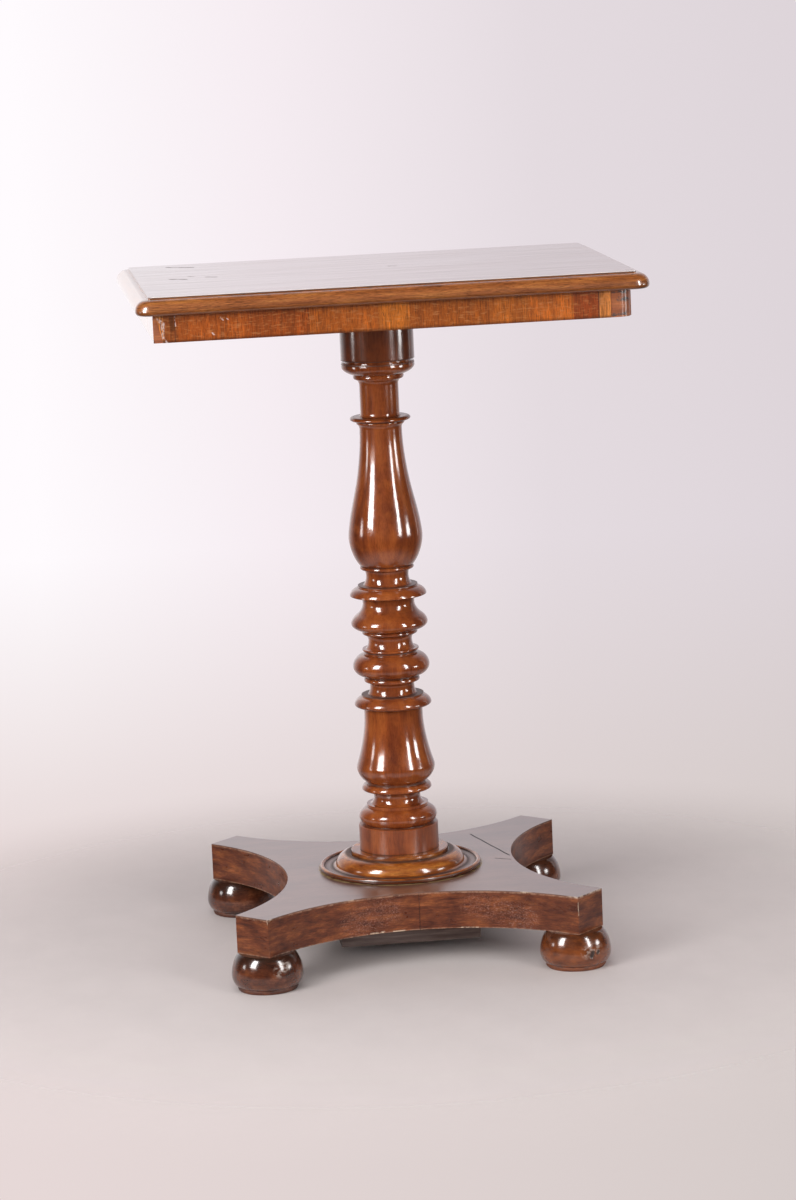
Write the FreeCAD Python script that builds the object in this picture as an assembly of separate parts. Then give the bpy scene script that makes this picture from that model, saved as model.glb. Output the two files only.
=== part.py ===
import FreeCAD, Part
import math
import os

# Pedestal table: a moulded rectangular top on a banded apron, a turned column in two lengths,
# a moulded base ring, a platform with four concave sides and four bun feet.
# Millimetres, +Z up. The origin is on the floor under the middle of the column, +X runs along
# the long side of the top and the front of the table faces -Y.

V = FreeCAD.Vector
UP = V(0, 0, 1)
FRONT, RIGHT, BACK, LEFT = -90, 0, 90, 180      # degrees about the column

# Fits and overruns
joint_gap = 0.15              # glue and air round a tenon or screw and behind a bent facing
shoulder_gap = 0.8            # air past the end of a blind tenon
seam_gap = 0.2                # open joint between two lengths of facing
overrun = 5.0                 # how far a cutter runs past what it cuts
tiny = 0.001                  # two points nearer than this are one

# Levels: feet, platform, ring, drum, column, collar, bearer and top stand on one another,
# which brings the table to 720 mm
foot_height = 39.0
platform_thickness = 40.0
collar_height = 50.0

# Top board, its raised field and its nosing
top_length = 520.0
top_width = 378.0
top_thickness = 18.0
field_rise = 2.2              # raised field above the nosing
field_veneer = 1.0
nosing_width = 13.5           # field edge to the outside of the nosing
nosing_round = 11.4           # upper rounding of the nosing
nosing_lip_round = 4.2        # lower rounding of the nosing
nosing_corner_radius = 17.0
field_corner_radius = 2.5

# Apron: softwood rails under an upright veneer laid in leaves
apron_height = 28.5
apron_setback = 3.5           # apron face inside the edge of the raised field
apron_corner_radius = 14.0
apron_sharp_radius = 1.6      # the front left corner is nearly sharp
rail_thickness = 19.0
band_thickness = 1.0
front_leaf_shares = (-0.99, -0.909, -0.613, -0.354, -0.074, 0.058, 0.393, 0.55, 0.856)
front_break_share = 0.36      # the first leaf is broken off aslant, by this share of its width
patch_end_share = 0.905       # beside it the rail's corner is bare
patch_drop = 1.6              # the patch stops short of the top board
back_joint_shares = (-0.66, -0.31, 0.04, 0.37, 0.7)
side_joint_shares = (-0.42, 0.08, 0.51)

# Glue blocks behind the rails
glue_block_leg = 16.0
glue_block_length = 50.0
long_block_shares = (-0.76, -0.46, 0.46, 0.76)
short_block_shares = (-0.48, 0.48)

# Bearer that joins the column to the top
bearer_width = 118.0
bearer_thickness = 26.0
bearer_screw_inset = 16.0     # screw line to the long edge of the bearer
bearer_screw_shares = (-0.84, -0.48, 0.48, 0.84)

# Block under the platform, with the screws that hold it
block_width = 148.0
block_thickness = 26.0
block_screw_inset = 17.0

# Wood screws
screw_radius = 2.3
screw_head_radius = 4.6
screw_head_height = 2.4
bearer_screw_length = 33.0
block_screw_length = 44.0
screw_tip_length = 6.0
screw_slot_width = 1.0
screw_slot_depth = 1.2

# Tenons on the column and the wedges in them
top_tenon_radius = 15.0
top_tenon_clearance = 0.6     # tenon end below the top board
foot_tenon_radius = 17.0
spigot_radius = 11.5
spigot_length = 34.0
wedge_length = 22.0
wedge_thickness = 4.6
wedge_point_thickness = 1.2

# How far an arc stands out, as a share of its chord
round_share = 0.2
hollow_share = -0.08

# Where the tangents of a rounded member cross, as a share of its rise
tight_share = 0.1
full_share = 0.2
easy_share = 0.3
slack_share = 0.45

# Lower column, upwards from the drum
foot_quirk_radius = 36.0
foot_quirk_height = 1.1
foot_torus_edge_radius = 36.5
foot_torus_radius = 41.6
foot_torus_low_height = 8.4
foot_torus_top_radius = 31.3
foot_torus_high_height = 9.6
foot_fillet_radius = 32.8
foot_fillet_height = 3.0
waist_foot_radius = 29.0
waist_radius = 24.7
waist_low_height = 8.1
waist_top_radius = 27.3
waist_high_height = 6.8
low_ring_foot_radius = 34.6
low_ring_radius = 37.2
low_ring_low_height = 2.0
low_ring_top_radius = 32.6
low_ring_high_height = 5.0
low_groove_radius = 31.0
low_groove_height = 2.3
low_vase_foot_radius = 31.3
low_vase_radius = 41.7
low_vase_belly_height = 15.9
low_vase_hip_radius = 41.4
low_vase_hip_height = 2.3
low_vase_chest_radius = 38.6
low_vase_chest_height = 9.1
low_vase_shoulder_radius = 35.6
low_vase_shoulder_height = 11.5
low_vase_neck_radius = 31.2
low_vase_neck_height = 31.5
low_vase_collar_height = 11.3
joint_ring_foot_radius = 36.8
joint_ring_radius = 41.0
joint_ring_low_height = 2.8
joint_ring_top_radius = 33.4
joint_ring_high_height = 8.2
joint_fillet_radius = 33.1
joint_fillet_height = 2.0
joint_neck_foot_radius = 26.5
joint_neck_radius = 23.5
joint_neck_height = 9.8

# Upper column, upwards from the joint
joint_flare_radius = 26.4
joint_flare_height = 4.1
torus_bead_foot_radius = 28.5
torus_bead_radius = 29.7
torus_bead_low_height = 1.8
torus_bead_high_height = 2.5
torus_bead_quirk_radius = 27.2
torus_bead_quirk_height = 2.1
torus_foot_radius = 30.2
torus_radius = 40.7
torus_low_height = 10.7
torus_top_radius = 28.4
torus_high_height = 13.1
torus_quirk_radius = 27.6
torus_quirk_height = 3.3
torus_collar_radius = 29.7
torus_collar_height = 2.1
bell_waist_foot_radius = 26.5
bell_waist_radius = 23.1
bell_waist_low_height = 9.1
bell_waist_top_radius = 26.5
bell_waist_high_height = 6.3
bell_bead_foot_radius = 27.9
bell_bead_radius = 29.5
bell_bead_low_height = 1.9
bell_bead_top_radius = 27.4
bell_bead_high_height = 2.7
bell_foot_radius = 29.6
bell_rim_radius = 40.7
bell_rim_height = 7.6
bell_shoulder_radius = 34.9
bell_shoulder_height = 8.9
bell_neck_radius = 27.4
bell_neck_height = 12.2
bell_collar_height = 7.8
bell_top_radius = 27.9
knop_foot_radius = 37.1
knop_radius = 40.7
knop_low_height = 1.3
knop_top_radius = 32.7
knop_high_height = 8.1
knop_fillet_radius = 31.6
knop_fillet_height = 2.6
vase_waist_foot_radius = 26.2
vase_waist_radius = 22.5
vase_waist_low_height = 9.8
vase_waist_top_radius = 23.9
vase_waist_high_height = 6.3
vase_bead_foot_radius = 25.7
vase_bead_radius = 28.6
vase_bead_low_height = 2.4
vase_bead_top_radius = 26.8
vase_bead_high_height = 2.1
vase_foot_radius = 27.7
vase_hip_share = 0.36
vase_belly_radius = 39.2
vase_belly_height = 31.5
vase_chest_share = 0.68
vase_chest_radius = 35.8
vase_chest_height = 24.2
vase_shoulder_radius = 28.3
vase_shoulder_height = 33.6
vase_throat_radius = 24.6
vase_throat_height = 23.5
vase_neck_radius = 22.4
vase_neck_height = 33.6
vase_lip_radius = 24.9
vase_lip_flare_height = 4.4
vase_lip_edge_height = 3.5
astragal_foot_radius = 28.8
astragal_radius = 32.0
astragal_low_height = 2.2
astragal_top_radius = 28.5
astragal_high_height = 2.5
shaft_foot_radius = 22.4
shaft_foot_height = 3.4
shaft_radius = 20.7
shaft_height = 30.7
shaft_flare_radius = 24.2
shaft_flare_height = 5.4
cap_bead_foot_radius = 25.4
cap_bead_radius = 26.8
cap_bead_low_height = 2.8
cap_bead_top_radius = 26.0
cap_bead_high_height = 2.0
cap_foot_radius = 26.7
cap_radius = 38.6
cap_low_height = 9.1
cap_edge_radius = 38.0
cap_high_height = 4.4
cap_quirk_radius = 34.5
cap_quirk_height = 2.5

# Collar block between the column and the bearer
collar_radius = 38.8

# Drum and moulded base ring
drum_radius = 42.3
drum_height = 27.0
drum_edge = 0.8
ring_radius = 86.3
ring_foot_radius = 84.4
ring_bead_low_height = 2.8
ring_bead_high_height = 3.0
ring_bead_top_radius = 83.8
ring_bead_inner_radius = 81.4
ring_bead_drop = 2.2          # from the top of the bead down to the valley
ring_valley_rise = 1.4
ovolo_foot_radius = 69.0
ovolo_top_radius = 54.6
ovolo_height = 12.0
ring_groove_width = 1.8
ring_groove_depth = 3.0
ring_fillet_radius = 51.7
ring_fillet_height = 4.2
ring_fillet_round = 1.0

# Platform with concave sides
platform_width = 381.8
platform_corner_leg = 30.5    # what the cut takes off each side of a corner
platform_hollow = 68.5        # depth of each concave side
platform_veneer = 1.0
facing_thickness = 1.2
seam_offsets = {FRONT: 4.0, RIGHT: 0.0, BACK: 0.0, LEFT: 0.0}

# Bun feet
foot_inset = 29.9             # side of the platform to the middle of a foot
foot_pad_radius = 30.0
foot_pad_top_radius = 30.6
foot_pad_height = 4.8
foot_neck_radius = 31.4
foot_radius = 37.0
foot_belly_height = 10.7      # above the pad
foot_seat_radius = 28.8
foot_spigot_radius = 10.0
foot_spigot_length = 22.0

# Sizes worked out from those above
bell_slope = (bell_rim_radius - bell_shoulder_radius) / (bell_shoulder_height * slack_share)
bell_neck_share = (bell_shoulder_radius - bell_neck_radius) / bell_slope / bell_neck_height
field_half_x = top_length / 2 - nosing_width
field_half_y = top_width / 2 - nosing_width
apron_half_x = field_half_x - apron_setback
apron_half_y = field_half_y - apron_setback
rail_half_x = apron_half_x - band_thickness
rail_half_y = apron_half_y - band_thickness
rail_inner_x = rail_half_x - rail_thickness
rail_inner_y = rail_half_y - rail_thickness
platform_top = foot_height + platform_thickness
core_top = platform_top - platform_veneer
ring_bead_top = platform_top + ring_bead_low_height + ring_bead_high_height
ovolo_top = ring_bead_top - ring_bead_drop + ring_valley_rise + ovolo_height
ring_top = ovolo_top + ring_fillet_height
drum_top = ring_top + drum_height
block_under = foot_height - block_thickness
foot_offset = platform_width / 2 - foot_inset
hollow_chord = platform_width - 2 * platform_corner_leg
hollow_radius = hollow_chord * hollow_chord / (8 * platform_hollow) + platform_hollow / 2
hollow_centre = platform_width / 2 - platform_hollow + hollow_radius


# Helpers
def export(node, *solids):
    shape = solids[0] if len(solids) == 1 else Part.makeCompound(list(solids))
    shape.exportStep("parts/" + node + ".step")


def box(low, high):
    size = high.sub(low)
    return Part.makeBox(size.x, size.y, size.z, low)


def centred_box(half_x, half_y, foot, top):
    return box(V(-half_x, -half_y, foot), V(half_x, half_y, top))


def cylinder(radius, foot, top):
    return Part.makeCylinder(radius, top - foot, V(0, 0, foot), UP)


def rounded_slab(half_x, half_y, radius, foot, top, front_left_radius=None):
    """Upright slab with rounded corners in plan. The front left one may have its own radius."""
    slab = centred_box(half_x, half_y, foot, top)
    uprights = [edge for edge in slab.Edges if edge.BoundBox.ZLength > tiny]
    if front_left_radius is None:
        return slab.makeFillet(radius, uprights)
    front_left = [edge for edge in uprights if edge.BoundBox.XMax < 0 and edge.BoundBox.YMax < 0]
    others = [edge for edge in uprights if edge.BoundBox.XMax > 0 or edge.BoundBox.YMax > 0]
    fronts = slab.makeFillet(front_left_radius, front_left)
    return slab.makeFillet(radius, others).common(fronts)


def edges_at(shape, height):
    """Edges that lie level at a height."""
    return [edge for edge in shape.Edges
            if abs(edge.BoundBox.ZMin - height) < tiny and abs(edge.BoundBox.ZMax - height) < tiny]


def turned(shape, degrees):
    """A copy turned about the column's axis."""
    copy = shape.copy()
    copy.rotate(V(0, 0, 0), UP, degrees)
    return copy


def moved(shape, x, y, z):
    copy = shape.copy()
    copy.translate(V(x, y, z))
    return copy


class Turning:
    """Walks up one side of a turned piece and revolves that outline about the upright axis.

    A point is a radius and a height. Each move goes on from the last point.
    """

    def __init__(self, radius, height):
        self.at = V(radius, 0, height)
        self.foot = height
        self.start = self.at
        self.heading = UP
        self.edges = []

    def go(self, radius, rise):
        """Straight to a new radius."""
        end = V(radius, 0, self.at.z + rise)
        if not end.isEqual(self.at, tiny):
            self.edges.append(Part.makeLine(self.at, end))
            self.heading = end.sub(self.at)
            self.at = end

    def shoulder(self, radius):
        """Square step in or out."""
        self.go(radius, 0)

    def fillet(self, radius, rise):
        """Square step, then an upright edge."""
        self.shoulder(radius)
        self.go(radius, rise)

    def bow(self, radius, rise, share):
        """Arc that stands out of its chord by a share of the chord, or in for a hollow."""
        end = V(radius, 0, self.at.z + rise)
        chord = end.sub(self.at)
        outward = V(chord.z, 0, -chord.x).multiply(share)
        middle = self.at.add(end).multiply(1 / 2).add(outward)
        self.edges.append(Part.Arc(self.at, middle, end).toShape())
        self.at = end

    def quarter(self, corner, end):
        """Quarter of an ellipse, or of a leaning one, whose end tangents cross at the corner."""
        arc = Part.BezierCurve()
        arc.setPoles([self.at, corner, end])
        arc.setWeight(2, math.sqrt(1 / 2))
        self.edges.append(arc.toShape())
        self.heading = end.sub(corner)
        self.at = end

    def to_upright(self, radius, rise, share):
        """Rounded run that ends upright, such as the lower half of a bead or a hollow."""
        foot = self.at.z
        self.quarter(V(radius, 0, foot + rise * share), V(radius, 0, foot + rise))

    def from_upright(self, radius, rise, share):
        """Rounded run that starts upright, such as the upper half of a bead or a hollow."""
        top = self.at.z + rise
        self.quarter(V(self.at.x, 0, top - rise * share), V(radius, 0, top))

    def curve(self, *moves):
        """Smooth run on from the last one through each (radius, rise), ending upright."""
        points = [self.at]
        for radius, rise in moves:
            points.append(V(radius, 0, points[-1].z + rise))
        spline = Part.BSplineCurve()
        spline.interpolate(Points=points, InitialTangent=self.heading, FinalTangent=UP)
        self.edges.append(spline.toShape())
        self.heading = UP
        self.at = points[-1]

    def solid(self):
        foot = V(0, 0, self.foot)
        top = V(0, 0, self.at.z)
        outline = [Part.makeLine(foot, self.start)] + self.edges
        if not self.at.isEqual(top, tiny):
            outline.append(Part.makeLine(self.at, top))
        outline.append(Part.makeLine(top, foot))
        return Part.Face(Part.Wire(outline)).revolve(V(0, 0, 0), UP, math.degrees(2 * math.pi))


# Outlines of the turned column
def lower_column_outline():
    pen = Turning(foot_tenon_radius, block_under)
    pen.go(foot_tenon_radius, drum_top - block_under)
    pen.fillet(foot_quirk_radius, foot_quirk_height)
    pen.shoulder(foot_torus_edge_radius)
    pen.to_upright(foot_torus_radius, foot_torus_low_height, tight_share)
    pen.from_upright(foot_torus_top_radius, foot_torus_high_height, full_share)
    pen.fillet(foot_fillet_radius, foot_fillet_height)
    pen.shoulder(waist_foot_radius)
    pen.to_upright(waist_radius, waist_low_height, full_share)
    pen.from_upright(waist_top_radius, waist_high_height, easy_share)
    pen.shoulder(low_ring_foot_radius)
    pen.to_upright(low_ring_radius, low_ring_low_height, tight_share)
    pen.from_upright(low_ring_top_radius, low_ring_high_height, tight_share)
    pen.fillet(low_groove_radius, low_groove_height)
    pen.shoulder(low_vase_foot_radius)
    pen.to_upright(low_vase_radius, low_vase_belly_height, easy_share)
    pen.from_upright(low_vase_hip_radius, low_vase_hip_height, slack_share)
    pen.curve((low_vase_chest_radius, low_vase_chest_height),
              (low_vase_shoulder_radius, low_vase_shoulder_height),
              (low_vase_neck_radius, low_vase_neck_height),
              (low_vase_neck_radius, low_vase_collar_height))
    pen.shoulder(joint_ring_foot_radius)
    pen.to_upright(joint_ring_radius, joint_ring_low_height, tight_share)
    pen.from_upright(joint_ring_top_radius, joint_ring_high_height, easy_share)
    pen.fillet(joint_fillet_radius, joint_fillet_height)
    pen.shoulder(joint_neck_foot_radius)
    pen.to_upright(joint_neck_radius, joint_neck_height, full_share)
    return pen


def torus_and_bell(pen):
    """Members between the joint and the knop."""
    pen.from_upright(joint_flare_radius, joint_flare_height, easy_share)
    pen.shoulder(torus_bead_foot_radius)
    pen.to_upright(torus_bead_radius, torus_bead_low_height, tight_share)
    pen.from_upright(torus_bead_foot_radius, torus_bead_high_height, tight_share)
    pen.fillet(torus_bead_quirk_radius, torus_bead_quirk_height)
    pen.shoulder(torus_foot_radius)
    pen.to_upright(torus_radius, torus_low_height, tight_share)
    pen.from_upright(torus_top_radius, torus_high_height, tight_share)
    pen.fillet(torus_quirk_radius, torus_quirk_height)
    pen.shoulder(torus_collar_radius)
    pen.bow(torus_collar_radius, torus_collar_height, round_share)
    pen.shoulder(bell_waist_foot_radius)
    pen.to_upright(bell_waist_radius, bell_waist_low_height, full_share)
    pen.from_upright(bell_waist_top_radius, bell_waist_high_height, easy_share)
    pen.shoulder(bell_bead_foot_radius)
    pen.to_upright(bell_bead_radius, bell_bead_low_height, tight_share)
    pen.from_upright(bell_bead_top_radius, bell_bead_high_height, tight_share)
    pen.shoulder(bell_foot_radius)
    pen.to_upright(bell_rim_radius, bell_rim_height, tight_share)
    pen.from_upright(bell_shoulder_radius, bell_shoulder_height, slack_share)
    pen.to_upright(bell_neck_radius, bell_neck_height, bell_neck_share)
    pen.go(bell_top_radius, bell_collar_height)


def knop_and_vase(pen):
    """Members between the bell and the shaft."""
    pen.shoulder(knop_foot_radius)
    pen.to_upright(knop_radius, knop_low_height, tight_share)
    pen.from_upright(knop_top_radius, knop_high_height, easy_share)
    pen.fillet(knop_fillet_radius, knop_fillet_height)
    pen.shoulder(vase_waist_foot_radius)
    pen.to_upright(vase_waist_radius, vase_waist_low_height, full_share)
    pen.from_upright(vase_waist_top_radius, vase_waist_high_height, easy_share)
    pen.shoulder(vase_bead_foot_radius)
    pen.to_upright(vase_bead_radius, vase_bead_low_height, full_share)
    pen.from_upright(vase_bead_top_radius, vase_bead_high_height, tight_share)
    pen.shoulder(vase_foot_radius)
    pen.to_upright(vase_belly_radius, vase_belly_height, vase_hip_share)
    pen.from_upright(vase_chest_radius, vase_chest_height, vase_chest_share)
    pen.curve((vase_shoulder_radius, vase_shoulder_height),
              (vase_throat_radius, vase_throat_height),
              (vase_neck_radius, vase_neck_height))
    pen.from_upright(vase_lip_radius, vase_lip_flare_height, easy_share)
    pen.bow(vase_lip_radius, vase_lip_edge_height, round_share)


def shaft_and_cap(pen):
    """Members between the vase and the collar."""
    pen.shoulder(astragal_foot_radius)
    pen.to_upright(astragal_radius, astragal_low_height, tight_share)
    pen.from_upright(astragal_top_radius, astragal_high_height, tight_share)
    pen.shoulder(shaft_foot_radius)
    pen.to_upright(shaft_radius, shaft_foot_height, full_share)
    pen.go(shaft_radius, shaft_height)
    pen.from_upright(shaft_flare_radius, shaft_flare_height, easy_share)
    pen.shoulder(cap_bead_foot_radius)
    pen.to_upright(cap_bead_radius, cap_bead_low_height, full_share)
    pen.from_upright(cap_bead_top_radius, cap_bead_high_height, tight_share)
    pen.shoulder(cap_foot_radius)
    pen.to_upright(cap_radius, cap_low_height, easy_share)
    pen.from_upright(cap_edge_radius, cap_high_height, tight_share)
    pen.fillet(cap_quirk_radius, cap_quirk_height)


def upper_column_outline():
    pen = Turning(spigot_radius, column_joint - spigot_length)
    pen.go(spigot_radius, spigot_length)
    pen.shoulder(joint_neck_radius)
    torus_and_bell(pen)
    knop_and_vase(pen)
    shaft_and_cap(pen)
    return pen


# Levels above the column's foot, which follow from its outlines
column_joint = lower_column_outline().at.z
collar_foot = upper_column_outline().at.z
bearer_under = collar_foot + collar_height
board_under = bearer_under + bearer_thickness
apron_foot = board_under - apron_height
table_height = board_under + top_thickness
nosing_top = table_height - field_rise


# Fastenings
def screw_blank(length, clearance):
    """Countersunk screw that points up, its head on level zero. The clearance makes its hole."""
    pen = Turning(screw_head_radius + clearance, 0)
    pen.go(screw_radius + clearance, screw_head_height)
    pen.go(screw_radius + clearance, length - screw_head_height - screw_tip_length + clearance)
    pen.go(0, screw_tip_length)
    return pen.solid()


def screw(length):
    half_slot = screw_slot_width / 2
    slot = centred_box(screw_head_radius + overrun, half_slot, -overrun, screw_slot_depth)
    return screw_blank(length, 0).cut(slot)


def wedge(radius, end, inward):
    """Wedge driven into the end of a tenon. inward is 1 for a tenon end that faces down."""
    point = end + inward * wedge_length
    half_end = wedge_thickness / 2
    half_point = wedge_point_thickness / 2
    corners = [V(-half_end, -radius, end), V(half_end, -radius, end),
               V(half_point, -radius, point), V(-half_point, -radius, point)]
    face = Part.Face(Part.makePolygon(corners + corners[:1]))
    prism = face.extrude(V(0, 2 * radius, 0))
    return prism.common(cylinder(radius, min(end, point), max(end, point)))


def bearer_screw_places():
    across = bearer_width / 2 - bearer_screw_inset
    return [V(x, share * rail_inner_y, bearer_under)
            for share in bearer_screw_shares for x in (-across, across)]


def block_screw_places():
    across = block_width / 2 - block_screw_inset
    return [V(x, y, block_under) for x in (-across, across) for y in (-across, across)]


def screws_at(places, length):
    return [moved(screw(length), place.x, place.y, place.z) for place in places]


def drill(shape, places, length):
    """Cuts the holes for screws whose heads lie at these places."""
    for place in places:
        shape = shape.cut(moved(screw_blank(length, joint_gap), place.x, place.y, place.z))
    return shape


# Top
def build_top_board():
    nosing = rounded_slab(top_length / 2, top_width / 2, nosing_corner_radius, board_under, nosing_top)
    nosing = nosing.makeFillet(nosing_round, edges_at(nosing, nosing_top))
    nosing = nosing.makeFillet(nosing_lip_round, edges_at(nosing, board_under))
    field_top = table_height - field_veneer
    field = rounded_slab(field_half_x, field_half_y, field_corner_radius, nosing_top, field_top)
    board = drill(nosing.fuse(field), bearer_screw_places(), bearer_screw_length)
    export("top_board", board.removeSplitter())
    veneer = rounded_slab(field_half_x, field_half_y, field_corner_radius, field_top, table_height)
    export("top_field_veneer", veneer)


def apron_block():
    """The outside of the softwood rails, from the foot of the apron to the board."""
    return rounded_slab(rail_half_x, rail_half_y, apron_corner_radius - band_thickness,
                        apron_foot, board_under, apron_sharp_radius - band_thickness)


def build_apron_rails():
    inside = centred_box(rail_inner_x, rail_inner_y, apron_foot - overrun, board_under + overrun)
    frame = apron_block().cut(inside)
    for node, low, high in (
        ("apron_rail_front", V(-top_length, -top_width, 0), V(top_length, -rail_inner_y, table_height)),
        ("apron_rail_back", V(-top_length, rail_inner_y, 0), V(top_length, top_width, table_height)),
        ("apron_rail_left", V(-top_length, -rail_inner_y, 0), V(0, rail_inner_y, table_height)),
        ("apron_rail_right", V(0, -rail_inner_y, 0), V(top_length, rail_inner_y, table_height)),
    ):
        export(node, frame.common(box(low, high)))


def leaves_along_x(shell, joints, low_y, high_y):
    """Cuts the banding of the front or back into leaves between these joints."""
    return [shell.common(box(V(start, low_y, apron_foot), V(end, high_y, board_under)))
            for start, end in zip(joints, joints[1:])]


def leaves_along_y(shell, joints, low_x, high_x):
    """Cuts the banding of one side into leaves between these joints."""
    return [shell.common(box(V(low_x, start, apron_foot), V(high_x, end, board_under)))
            for start, end in zip(joints, joints[1:])]


def break_cutter():
    """Three sided cutter that leaves the first leaf of the front aslant, narrowest at its foot."""
    edge = front_leaf_shares[0] * apron_half_x
    width = (front_leaf_shares[1] - front_leaf_shares[0]) * apron_half_x * front_break_share
    corners = [V(edge, -apron_half_y, board_under), V(edge, -apron_half_y, apron_foot),
               V(edge + width, -apron_half_y, apron_foot)]
    face = Part.Face(Part.makePolygon(corners + corners[:1]))
    return face.extrude(V(0, rail_thickness, 0))


def build_apron_bands():
    outside = rounded_slab(apron_half_x, apron_half_y, apron_corner_radius,
                           apron_foot, board_under, apron_sharp_radius)
    shell = outside.cut(apron_block())
    side_end = apron_half_y - apron_corner_radius
    front_joints = [share * apron_half_x for share in front_leaf_shares]
    back_joints = [-apron_half_x] + [share * apron_half_x for share in back_joint_shares] + [apron_half_x]
    side_joints = [share * apron_half_y for share in side_joint_shares] + [side_end]
    front = leaves_along_x(shell, front_joints, -apron_half_y, -side_end)
    front[0] = front[0].cut(break_cutter())
    back = leaves_along_x(shell, back_joints, side_end, apron_half_y)
    left_start = apron_sharp_radius - apron_half_y
    left = leaves_along_y(shell, [left_start] + side_joints, -apron_half_x, -rail_half_x)
    right = leaves_along_y(shell, [-side_end] + side_joints, rail_half_x, apron_half_x)
    export("apron_band_front", *front)
    export("apron_band_back", *back)
    export("apron_band_left", *left)
    export("apron_band_right", *right)
    patch_low = V(front_leaf_shares[-1] * apron_half_x, -apron_half_y, apron_foot)
    patch_high = V(patch_end_share * apron_half_x, -side_end, board_under - patch_drop)
    export("apron_band_patch", shell.common(box(patch_low, patch_high)))


def glue_block():
    """Three cornered block along X, its square corner up and towards -Y, on level zero."""
    corners = [V(0, 0, 0), V(0, glue_block_leg, 0), V(0, 0, -glue_block_leg)]
    face = Part.Face(Part.makePolygon(corners + corners[:1]))
    return moved(face.extrude(V(glue_block_length, 0, 0)), -glue_block_length / 2, 0, 0)


def build_glue_blocks():
    blocks = []
    for degrees in (0, 180):
        for share in long_block_shares:
            block = moved(glue_block(), share * rail_inner_x, -rail_inner_y, board_under)
            blocks.append(turned(block, degrees))
        for share in short_block_shares:
            block = moved(glue_block(), share * rail_inner_y, -rail_inner_x, board_under)
            blocks.append(turned(block, degrees + RIGHT - FRONT))
    export("glue_blocks", *blocks)


def build_bearer():
    bearer = centred_box(bearer_width / 2, rail_inner_y, bearer_under, board_under)
    bore = cylinder(top_tenon_radius + joint_gap, bearer_under - overrun, board_under + overrun)
    bearer = bearer.cut(bore)
    export("top_bearer", drill(bearer, bearer_screw_places(), bearer_screw_length))
    export("bearer_screws", *screws_at(bearer_screw_places(), bearer_screw_length))


# Column
def build_column():
    socket_floor = column_joint - spigot_length - shoulder_gap
    socket = cylinder(spigot_radius + joint_gap, socket_floor, column_joint + overrun)
    foot_wedge = wedge(foot_tenon_radius, block_under, 1)
    export("column_lower", lower_column_outline().solid().cut(socket).cut(foot_wedge))
    export("tenon_wedge_bottom", foot_wedge)

    upper = upper_column_outline()
    tenon_top = board_under - top_tenon_clearance
    upper.shoulder(top_tenon_radius)
    upper.go(top_tenon_radius, tenon_top - collar_foot)
    top_wedge = wedge(top_tenon_radius, tenon_top, -1)
    export("column_upper", upper.solid().cut(top_wedge))
    export("tenon_wedge_top", top_wedge)

    collar = cylinder(collar_radius, collar_foot, bearer_under)
    bore = cylinder(top_tenon_radius + joint_gap, collar_foot - overrun, bearer_under + overrun)
    export("collar", collar.cut(bore))


def tenon_bore(foot, top):
    """Cutter for the hole that the column's long tenon passes through."""
    return cylinder(foot_tenon_radius + joint_gap, foot - overrun, top + overrun)


# Base
def build_drum():
    pen = Turning(drum_radius, ring_top)
    pen.go(drum_radius, drum_height - drum_edge)
    pen.go(drum_radius - drum_edge, drum_edge)
    export("column_drum", pen.solid().cut(tenon_bore(ring_top, drum_top)))


def build_base_ring():
    pen = Turning(ring_foot_radius, platform_top)
    pen.to_upright(ring_radius, ring_bead_low_height, full_share)
    pen.from_upright(ring_bead_top_radius, ring_bead_high_height, 0)
    pen.to_upright(ring_bead_inner_radius, -ring_bead_drop, 0)
    pen.bow(ovolo_foot_radius, ring_valley_rise, hollow_share)
    pen.bow(ovolo_top_radius, ovolo_height, round_share)
    groove_floor = ring_fillet_radius + ring_groove_width
    pen.shoulder(groove_floor)
    pen.go(groove_floor, -ring_groove_depth)
    pen.shoulder(ring_fillet_radius)
    pen.go(ring_fillet_radius, ring_groove_depth + ring_fillet_height - ring_fillet_round)
    pen.bow(ring_fillet_radius - ring_fillet_round, ring_fillet_round, round_share)
    export("base_ring", pen.solid().cut(tenon_bore(platform_top, ring_top)))


def hollow(inset, foot, top):
    """Cutter for the concave side that faces right, moved inwards by the inset."""
    cutter = cylinder(hollow_radius + inset, foot, top)
    return moved(cutter, hollow_centre, 0, 0)


def corner_cut(inset, foot, top):
    """Cutter for the corner between right and back, moved inwards by the inset."""
    reach = math.hypot(platform_width, platform_width) / 2
    face = reach - platform_corner_leg / math.sqrt(2) - inset
    cutter = box(V(face, -reach, foot), V(face + reach, reach, top))
    return turned(cutter, BACK / 2)


def platform_slab(hollow_inset, corner_inset, foot, top):
    """Square slab with four hollowed sides and four corners cut off."""
    half = platform_width / 2
    slab = centred_box(half, half, foot, top)
    for degrees in (FRONT, RIGHT, BACK, LEFT):
        slab = slab.cut(turned(hollow(hollow_inset, foot, top), degrees))
        slab = slab.cut(turned(corner_cut(corner_inset, foot, top), degrees))
    return slab


def foot_places():
    return [("foot_front_left", -foot_offset, -foot_offset),
            ("foot_front_right", foot_offset, -foot_offset),
            ("foot_back_left", -foot_offset, foot_offset),
            ("foot_back_right", foot_offset, foot_offset)]


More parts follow.
